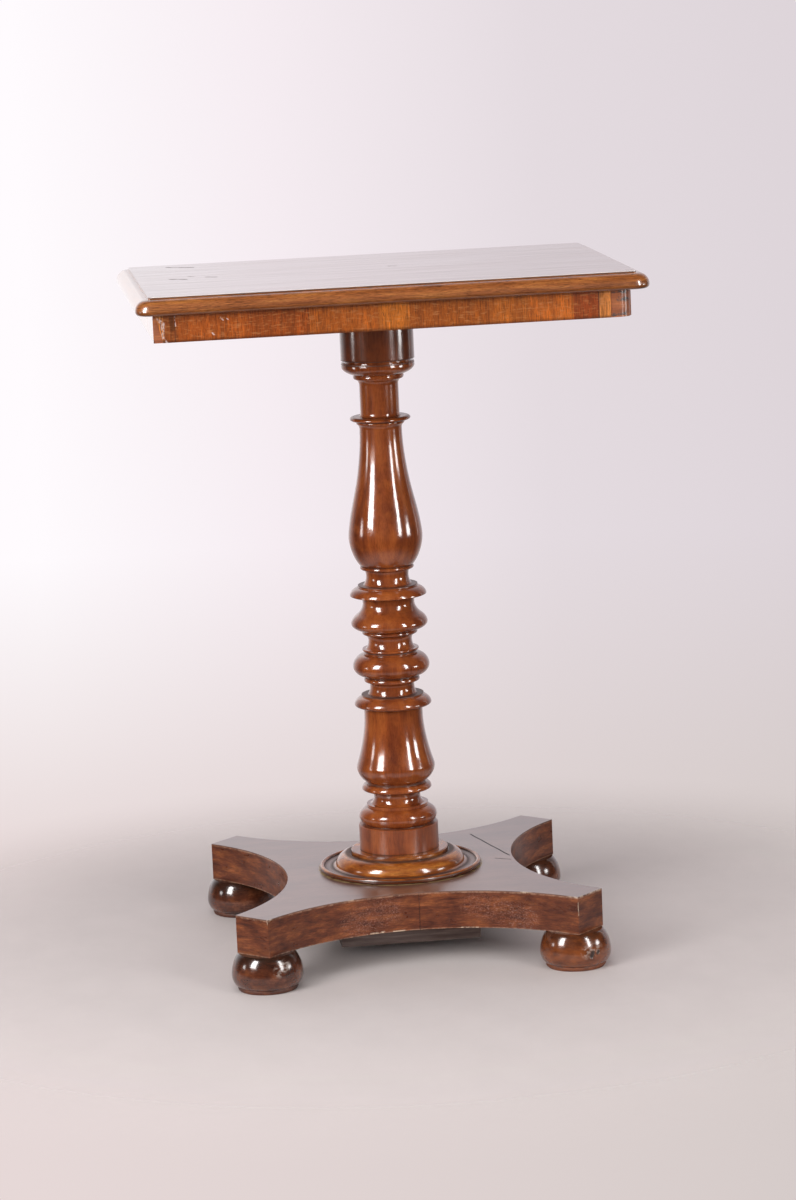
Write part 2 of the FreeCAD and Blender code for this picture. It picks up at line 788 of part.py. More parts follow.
def build_platform_cores():
    core = platform_slab(facing_thickness + joint_gap, facing_thickness, foot_height, core_top)
    core = core.cut(tenon_bore(foot_height, core_top))
    core = drill(core, block_screw_places(), block_screw_length)
    socket_top = foot_height + foot_spigot_length + shoulder_gap
    socket = cylinder(foot_spigot_radius + joint_gap, foot_height - overrun, socket_top)
    for _, x, y in foot_places():
        core = core.cut(moved(socket, x, y, 0))
    half = platform_width / 2
    export("platform_core_front", core.common(box(V(-half, -half, foot_height), V(half, 0, core_top))))
    export("platform_core_back", core.common(box(V(-half, 0, foot_height), V(half, half, core_top))))


def build_platform_facings():
    """Thin facings in two lengths on each concave side, and one on each cut corner."""
    whole = platform_slab(0, 0, foot_height, core_top)
    side_names = {FRONT: "front", RIGHT: "right", BACK: "back", LEFT: "left"}
    half = platform_width / 2
    for degrees, name in side_names.items():
        strip = whole.common(turned(hollow(facing_thickness, foot_height, core_top), degrees))
        seam = seam_offsets[degrees]
        ahead = box(V(0, seam + seam_gap / 2, foot_height), V(half, half, core_top))
        behind = box(V(0, -half, foot_height), V(half, seam - seam_gap / 2, core_top))
        lengths = [strip.common(turned(part, degrees)) for part in (ahead, behind)]
        export("platform_facing_" + name, *lengths)
    ends = platform_slab(facing_thickness, 0, foot_height, core_top)
    ends = ends.cut(platform_slab(facing_thickness, facing_thickness, foot_height, core_top))
    export("platform_end_facings", *ends.Solids)


def build_platform_veneer():
    veneer = platform_slab(0, 0, core_top, platform_top)
    export("platform_top_veneer", veneer.cut(tenon_bore(core_top, platform_top)))


def build_under_block():
    block = centred_box(block_width / 2, block_width / 2, block_under, foot_height)
    block = block.cut(tenon_bore(block_under, foot_height))
    export("under_block", drill(block, block_screw_places(), block_screw_length))
    export("under_block_screws", *screws_at(block_screw_places(), block_screw_length))


def build_feet():
    pen = Turning(foot_pad_radius, 0)
    pen.bow(foot_pad_top_radius, foot_pad_height, round_share)
    pen.shoulder(foot_neck_radius)
    pen.to_upright(foot_radius, foot_belly_height, full_share)
    pen.from_upright(foot_seat_radius, foot_height - foot_pad_height - foot_belly_height, easy_share)
    pen.shoulder(foot_spigot_radius)
    pen.go(foot_spigot_radius, foot_spigot_length)
    bun = pen.solid()
    for node, x, y in foot_places():
        export(node, moved(bun, x, y, 0))


def main():
    os.makedirs("parts", exist_ok=True)
    build_top_board()
    build_apron_rails()
    build_apron_bands()
    build_glue_blocks()
    build_bearer()
    build_column()
    build_drum()
    build_base_ring()
    build_platform_cores()
    build_platform_facings()
    build_platform_veneer()
    build_under_block()
    build_feet()


main()
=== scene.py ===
"""Pedestal table with a rectangular top, a turned column, a hollow-sided platform and bun feet.

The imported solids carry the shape. This file gives them their wood, polish and wear, and sets up
the floor, the lamps and the camera.
"""

import math
from collections import namedtuple

import bmesh
import bpy
from bpy.props import FloatProperty, FloatVectorProperty, PointerProperty
from mathutils import Matrix, Vector


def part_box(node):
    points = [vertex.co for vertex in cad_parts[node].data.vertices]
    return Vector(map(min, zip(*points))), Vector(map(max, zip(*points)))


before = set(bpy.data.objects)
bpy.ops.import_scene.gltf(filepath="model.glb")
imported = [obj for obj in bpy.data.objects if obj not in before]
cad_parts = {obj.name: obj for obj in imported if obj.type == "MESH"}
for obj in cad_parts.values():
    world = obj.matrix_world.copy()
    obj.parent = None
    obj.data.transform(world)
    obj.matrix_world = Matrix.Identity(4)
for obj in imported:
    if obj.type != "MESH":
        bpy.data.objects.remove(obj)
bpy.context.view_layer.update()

bl_info = {
    "name": "Pedestal Table",
    "version": (1, 0, 0),
    "blender": (4, 5, 0),
    "location": "View3D > Sidebar > Table",
    "description": "Dresses the pedestal table with polished wood, wear and a plain studio",
    "category": "Object",
}

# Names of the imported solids, by what they are made of.
FEET = ("foot_front_left", "foot_front_right", "foot_back_left", "foot_back_right")
RAILS = ("apron_rail_front", "apron_rail_back", "apron_rail_left", "apron_rail_right")
LONG_BANDS = ("apron_band_front", "apron_band_patch", "apron_band_back")
SHORT_BANDS = ("apron_band_left", "apron_band_right")
FACINGS = (
    "platform_facing_front",
    "platform_facing_back",
    "platform_facing_left",
    "platform_facing_right",
    "platform_end_facings",
)
CORES = ("platform_core_front", "platform_core_back")
WEDGES = ("tenon_wedge_top", "tenon_wedge_bottom")
SCREWS = ("bearer_screws", "under_block_screws")

MM = 0.001

# Roughness of wood that has lost its polish.
BARE = 0.7

# A mark is solid this share of its width from its middle line, and gone at the second share.
MARK_SOLID, MARK_GONE = 0.3, 0.6

# Heights of the quirks and joints that are darkened with painted shade, in millimetres.
UPPER_CREASES = (287.4, 314.4, 333.0, 374.1, 386.1, 406.7, 561.0, 565.7, 622.4)
LOWER_CREASES = (127.4, 164.2, 172.2, 255.1, 268.1)
COLLAR_CREASES = (626.0, 676.0)
DRUM_CREASES = (100.2,)
RING_CREASES = (79.0, 82.7, 96.0)

# Heights between which a shade comes or goes, in millimetres.
# Painted shade under the nosing lies on the apron's top edge between these heights.
BAND_SHADE_UNDER_NOSING = (698.5, 702.0)
BAND_FOOT = (674.4, 677.0)
# Painted shade on the nosing's underside fades out between these heights.
NOSING_UNDERSIDE_SHADE = (703.0, 711.0)
RING_RIM = (81.4, 84.4)
FOOT_SHOULDER = (24.0, 36.0)
FOOT_PAD = (4.6, 6.2)

# Distances from the column's axis between which the dust round the ring ends, in millimetres.
RING_DUST = (87.0, 89.0)

# Depth of the pale arris at the top and the foot of the facings, in millimetres from the edge.
# The arris is rubbed pale, with a painted highlight along it.
TOP_ARRIS = (2.0, 0.6)
FOOT_ARRIS = (0.3, 1.3)

# How far the cracks in the platform wander from straight, in millimetres.
CRACK_WANDER = 1.5

# Marks, each with its start, its end and its width in millimetres.
VASE_CRACK = (
    ((-19.5, -32.6, 222.5), (-13.0, -38.4, 216.0), 0.7),
    ((-15.0, -37.4, 219.4), (-9.0, -39.2, 212.0), 0.6),
)
FOOT_DENTS = (
    ((172.0, -195.6, 17.0), (173.4, -195.2, 20.0), 5.0),
    ((178.4, -192.4, 19.0), (179.6, -191.8, 20.4), 4.0),
)
# A pale scrape on the front right foot, and a painted highlight on the front left one.
FOOT_SCRAPE_AND_HIGHLIGHT = (
    ((167.0, -196.4, 21.0), (180.0, -191.6, 23.4), 13.0),
    ((-152.0, -195.4, 25.0), (-144.0, -191.4, 31.0), 12.0),
)
NOSING_NICKS = (
    ((173.6, -189.0, 712.6), (177.8, -189.0, 712.6), 1.6),
    ((246.0, -186.0, 719.0), (249.0, -184.0, 719.0), 2.4),
)
# Painted shade in the quirk between the field and the nosing.
NOSING_QUIRK_SHADE = (
    ((-247.4, -176.5, 719.0), (247.4, -176.5, 719.0), 2.6),
    ((-247.4, 176.5, 719.0), (247.4, 176.5, 719.0), 2.6),
    ((-247.4, -176.5, 719.0), (-247.4, 176.5, 719.0), 2.0),
    ((247.4, -176.5, 719.0), (247.4, 176.5, 719.0), 2.0),
)
FIELD_MARKS = (
    ((-211.0, 8.0, 720.0), (-197.0, -0.6, 720.0), 6.0),
    ((-192.0, 29.0, 720.0), (-187.0, 25.9, 720.0), 5.0),
    ((-174.0, 13.0, 720.0), (-165.0, 7.6, 720.0), 5.0),
    ((-206.0, 148.0, 720.0), (-180.0, 132.0, 720.0), 5.0),
    ((20.0, 22.0, 720.0), (25.0, 20.0, 720.0), 5.0),
    ((238.0, -166.0, 720.0), (243.0, -168.0, 720.0), 3.0),
)
# A painted highlight along the field's front arris.
FIELD_ARRIS_HIGHLIGHT = (((-245.0, -175.6, 719.9), (245.0, -175.6, 719.9), 1.1),)
BAND_CRACKS = (
    ((-234.0, -172.0, 702.0), (-235.5, -172.0, 690.0), 1.0),
    ((-235.5, -172.0, 690.0), (-233.0, -172.0, 674.0), 1.0),
    ((-221.0, -172.0, 702.0), (-221.5, -172.0, 674.0), 0.8),
    ((-12.0, -172.0, 692.0), (-11.0, -172.0, 688.0), 0.9),
    ((207.8, -172.0, 702.0), (207.8, -172.0, 674.0), 0.9),
)
# Chips in the banding, painted a pale lilac that is partly a painted highlight on the broken
# veneer.
BAND_CHIPS_AND_HIGHLIGHTS = (
    ((-238.0, -172.0, 697.0), (-232.5, -172.0, 692.5), 3.4),
    ((-233.4, -172.0, 692.0), (-233.6, -172.0, 678.0), 3.6),
    ((-233.6, -172.0, 678.0), (-230.0, -172.0, 674.0), 2.4),
    ((-221.0, -172.0, 700.0), (-220.4, -172.0, 690.0), 1.3),
    ((-175.0, -172.0, 696.0), (-172.6, -172.0, 693.0), 1.4),
    ((-169.0, -172.0, 694.6), (-167.6, -172.0, 693.6), 1.1),
    ((-184.0, -172.0, 681.0), (-182.0, -172.0, 678.4), 1.6),
)
BAND_DIRT = (((-224.6, -172.0, 697.0), (-223.6, -172.0, 687.0), 5.0),)
RAIL_STAINS = (
    ((221.0, -171.0, 701.0), (238.0, -169.0, 700.0), 7.0),
    ((228.0, -171.0, 692.0), (240.0, -168.0, 691.0), 5.0),
    ((222.0, -171.0, 676.0), (240.0, -168.0, 677.0), 4.0),
)
FACING_SEAMS = (((4.0, -122.0, 39.0), (4.0, -122.0, 79.0), 1.4),)
FACING_FLAKES = (
    ((-66.0, -132.4, 54.0), (-30.0, -124.4, 62.0), 34.0),
    ((60.0, -130.6, 64.0), (112.0, -152.4, 50.0), 30.0),
)
FACING_CHIPS = (
    ((-86.0, -141.0, 78.8), (-66.0, -133.0, 78.8), 2.0),
    ((108.0, -150.2, 78.8), (138.0, -173.0, 78.8), 2.2),
    ((-52.0, -128.5, 39.6), (-34.0, -125.0, 40.0), 2.4),
    ((-24.0, -123.7, 39.4), (-12.0, -122.7, 39.4), 1.8),
    ((47.0, -127.3, 39.4), (64.0, -131.6, 39.4), 1.6),
    ((-161.5, -190.5, 78.6), (-161.5, -190.5, 74.0), 1.8),
    ((-161.0, -190.0, 78.6), (-146.0, -181.0, 78.6), 1.8),
    ((161.2, -190.8, 73.0), (161.2, -190.8, 60.0), 2.0),
    ((161.2, -190.8, 78.6), (190.8, -161.2, 78.6), 2.2),
    ((161.2, -190.8, 78.6), (138.0, -173.0, 78.6), 2.0),
)
PLATFORM_CRACKS = (
    ((93.6, 118.8, 79.0), (120.6, 10.1, 79.0), 2.0),
    ((104.0, 1.3, 79.0), (118.9, -7.9, 79.0), 1.8),
    ((-95.7, 149.2, 79.0), (-95.0, 148.6, 79.0), 2.6),
)

# Cross banding: half the length of the long and short sides in millimetres, and where each leaf
# starts, as a share of its side, with its tone.
LONG_REACH, SHORT_REACH = 240.0, 163.0
LONG_LEAVES = (
    (0.0, "E0863A"),
    (0.0135, "964A16"),
    (0.04, "AD5210"),
    (0.19, "9F480C"),
    (0.32, "B45A12"),
    (0.463, "C86D19"),
    (0.53, "A75412"),
    (0.699, "C26618"),
    (0.778, "C66519"),
    (0.877, "9F4311"),
    (0.933, "E0883E"),
)
SHORT_LEAVES = (
    (0.0, "AC5A1C"),
    (0.22, "BA6620"),
    (0.4, "A95419"),
    (0.63, "BF6A22"),
    (0.86, "A75318"),
)

# The grain of each wood: how wide its figure, its fibres and its pores are, in millimetres along X,
# Y and Z, and how strongly the fibres and the pores shade it. The long way runs with the grain.
# Figure is drawn at its real size. Real pores are 0.1 to 0.3 mm wide and fibres finer, less than a
# pixel of the render, so they are drawn 0.5 to 3 mm wide, about a pixel or more, to show at all.
Grain = namedtuple("Grain", "figure fibre pore fibre_depth pore_depth")
COLUMN_GRAIN = Grain((15, 15, 95), (1.1, 1.1, 26), (0.7, 0.7, 7), 0.2, 0.25)
RING_GRAIN = Grain((26, 26, 8), (16, 16, 1.2), (9, 9, 0.8), 0.2, 0.3)
FOOT_GRAIN = Grain((16, 16, 14), (9, 9, 1.1), (4, 4, 0.7), 0.3, 0.3)
NOSING_GRAIN = Grain((60, 60, 4), (10, 10, 0.7), (5, 5, 0.5), 0.4, 0.45)
FIELD_GRAIN = Grain((190, 24, 24), (40, 1.6, 4), (9, 0.8, 4), 0.16, 0.2)
BAND_GRAIN = Grain((10, 10, 45), (1.2, 1.2, 18), (0.8, 0.8, 5), 0.55, 0.45)
FACING_GRAIN = Grain((26, 26, 6), (7, 7, 1.2), (2.6, 2.6, 0.9), 0.42, 0.22)
PLATFORM_GRAIN = Grain((150, 60, 60), (50, 3.0, 4), (8, 0.8, 4), 0.07, 0.2)
PINE_GRAIN = Grain((90, 9, 6), (60, 1.6, 1.4), (20, 1.0, 0.9), 0.2, 0.2)
BEECH_GRAIN = Grain((6, 6, 30), (0.9, 0.9, 9), (0.6, 0.6, 3), 0.2, 0.3)

# Bare woods, each with its dark, middle and pale tone.
AGED_RED_PINE = ("844320", "A1562C", "BA6C38")
PINE = ("7C6248", "9B7F60", "B09473")
GREY_PINE = ("4E4038", "6B5A50", "7E6D61")
DUSTY_PINE = ("57463F", "75635D", "8C7B76")
BEECH = ("8F6E48", "B08B5E", "C6A376")


def linear(text):
    """The linear colour of an sRGB hex value, with full alpha."""
    shares = [int(text[i : i + 2], 16) / 255 for i in (0, 2, 4)]
    return [s / 12.92 if s <= 0.04045 else ((s + 0.055) / 1.055) ** 2.4 for s in shares] + [1.0]


def tone(name, description, text):
    """A colour that the user can change, with an sRGB hex value as its default."""
    return FloatVectorProperty(
        name=name,
        description=description,
        default=linear(text),
        size=4,
        subtype="COLOR",
        min=0,
        max=1,
    )


def add(tree, kind, inputs=(), stops=(), **settings):
    """Adds one node with its settings, its colour stops and what its inputs are fed or set to."""
    made = tree.nodes.new("ShaderNode" + kind)
    for name, value in settings.items():
        setattr(made, name, value)
    for place, (spot, colour) in enumerate(stops):
        elements = made.color_ramp.elements
        element = elements[place] if place < 2 else elements.new(spot)
        element.position = spot
        element.color = colour
    for socket, value in dict(inputs).items():
        if isinstance(value, bpy.types.NodeSocket):
            tree.links.new(value, made.inputs[socket])
        else:
            made.inputs[socket].default_value = value
    return made


# Masks and patterns. A mask is 1 where something shows and 0 where it doesn't.


def between(low, high, first=0.0, second=1.0):
    """What carries a value's range to another one, and holds it there."""
    return {"From Min": low, "From Max": high, "To Min": first, "To Max": second}


def both(tree, *masks):
    """1 only where all the masks are 1. A plain number among them weakens the whole."""
    result = masks[0]
    for mask in masks[1:]:
        result = add(tree, "Math", {0: result, 1: mask}, operation="MULTIPLY").outputs[0]
    return result


def either(tree, *masks):
    """1 where any of the masks is 1."""
    result = masks[0]
    for mask in masks[1:]:
        result = add(tree, "Math", {0: result, 1: mask}, operation="MAXIMUM").outputs[0]
    return result


def streaks(tree, place, widths, detail=4.0, start=(0.0, 0.0, 0.0)):
    """Soft noise between 0 and 1 whose marks are as wide as the widths, in millimetres."""
    scale = [1 / (width * MM) for width in widths]
    laid = add(tree, "Mapping", {"Vector": place, "Scale": scale, "Location": start})
    noise = {"Vector": laid.outputs[0], "Scale": 1.0, "Detail": detail, "Roughness": 0.6}
    return add(tree, "TexNoise", noise).outputs[0]


def patches(tree, place, widths, detail, ends, shades=(0.0, 1.0), start=(0.0, 0.0, 0.0)):
    """Patches as wide as the widths, in millimetres.

    They go from the first shade to the second while their noise goes from one end to the other.
    """
    noise = streaks(tree, place, widths, detail, start)
    return add(tree, "MapRange", {"Value": noise, **between(*ends, *shades)}).outputs[0]


def level(tree, place, axis, ends, shades=(0.0, 1.0)):
    """Goes from the first shade to the second between two places on an axis, in millimetres."""
    reading = add(tree, "SeparateXYZ", {0: place}).outputs["XYZ".index(axis)]
    held = between(ends[0] * MM, ends[1] * MM, *shades)
    return add(tree, "MapRange", {"Value": reading, **held}).outputs[0]


def marks(tree, place, strokes):
    """Straight marks. A stroke is its start, its end and its width, in millimetres."""
    masks = []
    for start, end, width in strokes:
        run = (Vector(end) - Vector(start)) * MM
        way = run / run.length
        parts = {0: place, 1: Vector(start) * MM}
        off = add(tree, "VectorMath", parts, operation="SUBTRACT").outputs["Vector"]
        parts = {0: off, 1: way}
        along = add(tree, "VectorMath", parts, operation="DOT_PRODUCT").outputs["Value"]
        held = between(0.0, run.length, 0.0, run.length)
        held = add(tree, "MapRange", {"Value": along, **held}).outputs[0]
        near = add(tree, "VectorMath", {0: way, "Scale": held}, operation="SCALE").outputs["Vector"]
        parts = {0: off, 1: near}
        gap = add(tree, "VectorMath", parts, operation="DISTANCE").outputs["Value"]
        edge = between(MARK_SOLID * width * MM, MARK_GONE * width * MM, 1.0, 0.0)
        masks.append(add(tree, "MapRange", {"Value": gap, **edge}).outputs[0])
    return either(tree, *masks)


def creases(tree, place, heights, reach):
    """1 at each of the heights and 0 a little above and below it, all in millimetres."""
    low, high = min(heights) - 2 * reach, max(heights) + 2 * reach
    stops = []
    for line in sorted(heights):
        for step, shade in ((-reach, 0.0), (0.0, 1.0), (reach, 0.0)):
            stops.append(((line + step - low) / (high - low), (shade, shade, shade, 1)))
    share = level(tree, place, "Z", (low, high))
    return add(tree, "ValToRGB", {"Fac": share}, stops=stops).outputs[0]


# Woods and other finishes


def begin(name):
    """A new material with an empty tree, and the place on the piece that its patterns read."""
    finish = bpy.data.materials.new(name)
    finish.use_nodes = True
    finish.node_tree.nodes.clear()
    return finish, finish.node_tree, add(finish.node_tree, "TexCoord").outputs["Object"]


def painted(tree, colour, over, *masks):
    """The colour with another one, or an sRGB hex value, laid over it where the masks are 1."""
    laid = linear(over) if isinstance(over, str) else over
    parts = {0: both(tree, *masks), 6: colour, 7: laid}
    return add(tree, "Mix", parts, data_type="RGBA").outputs[2]


def shades_of(finish, part):
    """The dark, middle and pale tone that the user has set for a part."""
    return [getattr(finish, part + shade) for shade in ("_dark", "_middle", "_pale")]


def pores(tree, place, grain):
    """1 on the wood and less in its short pores."""
    shades = (1 - grain.pore_depth, 1.0)
    return patches(tree, place, grain.pore, 2.0, (0.36, 0.46), shades, (9.4, 1.2, 6.6))


def grained(tree, place, colour, grain):
    """The colour with paler and darker fibres along the grain, and with dark pores."""
    shades = (1 - grain.fibre_depth, 1 + grain.fibre_depth)
    fibres = patches(tree, place, grain.fibre, 5.0, (0.3, 0.7), shades, (3.1, 7.7, 5.3))
    parts = {0: 1.0, 6: colour, 7: both(tree, fibres, pores(tree, place, grain))}
    return add(tree, "Mix", parts, data_type="RGBA", blend_type="MULTIPLY").outputs[2]


def wood(tree, place, tones, grain):
    """Dark, middle and pale wood that drift into one another as figure, with fibres and pores."""
    dark, middle, pale = tones
    stops = ((0.3, dark), (0.5, middle), (0.7, pale))
    drift = streaks(tree, place, grain.figure, 5.0)
    figure = add(tree, "ValToRGB", {"Fac": drift}, stops=stops).outputs[0]
    return grained(tree, place, figure, grain)


def close(tree, colour, roughness, surface, relief, polish, dull=None, cuts=None, rubs=None):
    """Joins the colour, the roughness and the relief into the finish.

    The noise of the surface stands up by the relief, in millimetres. Cuts are a mask and how many
    times deeper than that noise its marks go in. Rubs are a mask and how much roughness they add.
    Polish holds what is the same all over. Where dull is 1 the polish is gone.
    """
    if cuts:
        parts = {0: surface, 1: both(tree, *cuts)}
        surface = add(tree, "Math", parts, operation="SUBTRACT").outputs[0]
    if rubs:
        parts = {0: roughness, 1: both(tree, *rubs)}
        roughness = add(tree, "Math", parts, operation="ADD").outputs[0]
    bump = add(tree, "Bump", {"Height": surface, "Distance": relief * MM, "Strength": 1.0})
    inputs = {"Base Color": colour, "Roughness": roughness, "Normal": bump.outputs[0]}
    inputs.update(polish)
    if dull is not None:
        inputs["Roughness"] = either(tree, roughness, both(tree, dull, BARE))
        coat = between(0.0, 1.0, polish["Coat Weight"], 0.0)
        inputs["Coat Weight"] = add(tree, "MapRange", {"Value": dull, **coat}).outputs[0]
    finish = add(tree, "BsdfPrincipled", inputs)
    add(tree, "OutputMaterial", {"Surface": finish.outputs[0]})


def polished_turned_mahogany(name, tones, lines, cracks=(), sheen=(0.1, 0.19), coat=0.4):
    """Solid mahogany turned on a lathe and French polished.

    The tones drift into soft orange patches and the filled pores are faint. The shellac gives
    white highlights with a soft edge. Painted shade darkens the quirks, which are at the heights
    of the lines, and the polish is dulled there. Any cracks given are darkened and dulled the same
    way.
    """
    made, tree, place = begin(name)
    colour = wood(tree, place, tones, COLUMN_GRAIN)
    glow = patches(tree, place, (26, 26, 17), 3.0, (0.5, 0.7), (0.0, 0.4), (4.0, 2.0, 7.0))
    colour = painted(tree, colour, tones[2], glow)
    # Painted shade darkens the quirks and joints at the heights of the lines.
    shade_and_cracks = both(tree, creases(tree, place, lines, 1.2), 0.85)
    # Real cracks, where given, join that mask and are darkened and dulled the same way.
    if cracks:
        shade_and_cracks = either(tree, shade_and_cracks, marks(tree, place, cracks))
    colour = painted(tree, colour, "1C0D07", shade_and_cracks)
    roughness = patches(tree, place, (30, 30, 30), 3.0, (0.35, 0.7), sheen, (2.0, 4.0, 1.0))
    ripple = streaks(tree, place, (10, 10, 16), 2.0)
    polish = {"IOR": 1.6, "Coat Weight": coat, "Coat Roughness": 0.06}
    close(tree, colour, roughness, ripple, 0.1, polish, dull=shade_and_cracks, cuts=(shade_and_cracks, 2.0))
    return made


def polished_ring_mahogany(finish):
    """The moulded ring on the platform, turned from solid mahogany and French polished.

    It is more orange than the column and its grain lies level. Its rim is painted darker towards
    its foot, and painted shade darkens its quirks.
    """
    made, tree, place = begin("polished_ring_mahogany")
    colour = wood(tree, place, shades_of(finish, "ring"), RING_GRAIN)
    # The rim is painted darker towards its foot.
    colour = painted(tree, colour, "45180C", level(tree, place, "Z", RING_RIM, (0.9, 0.0)))
    # Painted shade darkens the quirks.
    shade_and_cracks = both(tree, creases(tree, place, RING_CREASES, 0.9), 0.85)
    colour = painted(tree, colour, "1E0D07", shade_and_cracks)
    ripple = streaks(tree, place, (11, 11, 8), 2.0)
    polish = {"IOR": 1.6, "Coat Weight": 0.3, "Coat Roughness": 0.08}
    close(tree, colour, 0.16, ripple, 0.14, polish, dull=shade_and_cracks)
    return made


def polished_dark_mahogany(finish):
    """Turned bun feet of solid mahogany, given a dark stain and French polished.

    Towards the front right they are warmer and flamed, their shoulders are painted darker, and
    they stand on bare wood. The front right one has two holes and a pale scrape, and the front
    left one a painted highlight.
    """
    made, tree, place = begin("polished_dark_mahogany")
    colour = wood(tree, place, shades_of(finish, "feet"), FOOT_GRAIN)
    right = level(tree, place, "X", (0.0, 160.0), (0.0, 0.75))
    front = level(tree, place, "Y", (-120.0, 0.0), (1.0, 0.3))
    flame = patches(tree, place, (11, 11, 5), 5.0, (0.4, 0.6), (0.3, 1.0), (5.0, 5.0, 5.0))
    colour = painted(tree, colour, "8A471C", right, front, flame)
    # The shoulders are painted darker, less so towards the right.
    shoulder = level(tree, place, "Z", FOOT_SHOULDER)
    uneven = patches(tree, place, FOOT_GRAIN.figure, 5.0, (0.35, 0.6), (0.45, 0.9))
    left = level(tree, place, "X", (-100.0, 160.0), (1.0, 0.7))
    colour = painted(tree, colour, "1D120C", shoulder, uneven, left)
    knocks = patches(tree, place, (5, 5, 3), 5.0, (0.46, 0.6))
    # A pale scrape on the front right foot and a painted highlight on the front left one.
    rubbed = both(tree, marks(tree, place, FOOT_SCRAPE_AND_HIGHLIGHT), knocks, 0.45)
    colour = painted(tree, colour, "B7A79A", rubbed)
    dents = marks(tree, place, FOOT_DENTS)
    colour = painted(tree, colour, "1E130E", dents, 0.9)
    swell = (9, 9, 9)
    sheen = patches(tree, place, swell, 3.0, (0.35, 0.7), (0.15, 0.22))
    ripple = streaks(tree, place, swell, 3.0)
    dull = either(tree, dents, level(tree, place, "Z", FOOT_PAD, (0.9, 0.0)))
    polish = {"IOR": 1.55, "Coat Weight": 0.45, "Coat Roughness": 0.09}
    close(tree, colour, sheen, ripple, 0.12, polish, dull, (dents, 8.0), (rubbed, 0.3))
    return made


def polished_nosing_mahogany(finish):
    """Solid mahogany nosing worked with moulding planes, under thin polish.

    Fine straight grain runs along each side, painted shade darkens the underside, two nicks show
    pale wood, and painted shade fills the quirk against the field.
    """
    made, tree, place = begin("polished_nosing_mahogany")
    colour = wood(tree, place, shades_of(finish, "nosing"), NOSING_GRAIN)
    nicks = marks(tree, place, NOSING_NICKS)
    colour = painted(tree, colour, "E0CDB8", nicks)
    # Painted shade on the underside, strongest at the bottom.
    underside = level(tree, place, "Z", NOSING_UNDERSIDE_SHADE, (0.6, 0.0))
    colour = painted(tree, colour, "4A200C", underside)
    # Painted shade in the quirk against the field, where the polish is also dulled.
    shade_and_cracks = both(tree, marks(tree, place, NOSING_QUIRK_SHADE), 0.96)
    colour = painted(tree, colour, "120A07", shade_and_cracks)
    ripple = streaks(tree, place, (14, 14, 9), 2.0)
    polish = {"IOR": 1.6, "Coat Weight": 1.0, "Coat Roughness": 0.14}
    close(tree, colour, 0.27, ripple, 0.06, polish, dull=shade_and_cracks, cuts=(nicks, 5.0))
    return made


def polished_field_veneer(finish):
    """Mahogany veneer on the top, its grain along the length, polished to a mirror.

    The polish has dulled in streaks, dark marks lie on it, painted shade darkens its edge at the
    quirk, and the front arris has a painted highlight.
    """
    made, tree, place = begin("polished_field_veneer")
    colour = wood(tree, place, shades_of(finish, "field"), FIELD_GRAIN)
    flecks = patches(tree, place, (9, 5, 5), 3.0, (0.36, 0.5))
    stains = both(tree, marks(tree, place, FIELD_MARKS), flecks)
    colour = painted(tree, colour, "2A1A14", stains, 0.8)
    # Painted shade on the field's edge in the quirk against the nosing.
    edge = both(tree, marks(tree, place, NOSING_QUIRK_SHADE), 0.96)
    colour = painted(tree, colour, "120A07", edge)
    # A painted highlight along the front arris.
    colour = painted(tree, colour, "E9DCD6", marks(tree, place, FIELD_ARRIS_HIGHLIGHT))
    worn = patches(tree, place, (150, 12, 12), 5.0, (0.42, 0.72), (0.0, 0.28), (5.0, 2.0, 3.0))
    sheen = patches(tree, place, FIELD_GRAIN.figure, 5.0, (0.3, 0.7), (0.14, 0.2))
    ripple = streaks(tree, place, (60, 8, 8), 2.0)
    polish = {"IOR": 1.8, "Coat Weight": 1.0, "Coat Roughness": 0.1, "Coat IOR": 1.7}
    close(tree, colour, sheen, ripple, 0.03, polish, dull=either(tree, stains, worn, edge))
    return made


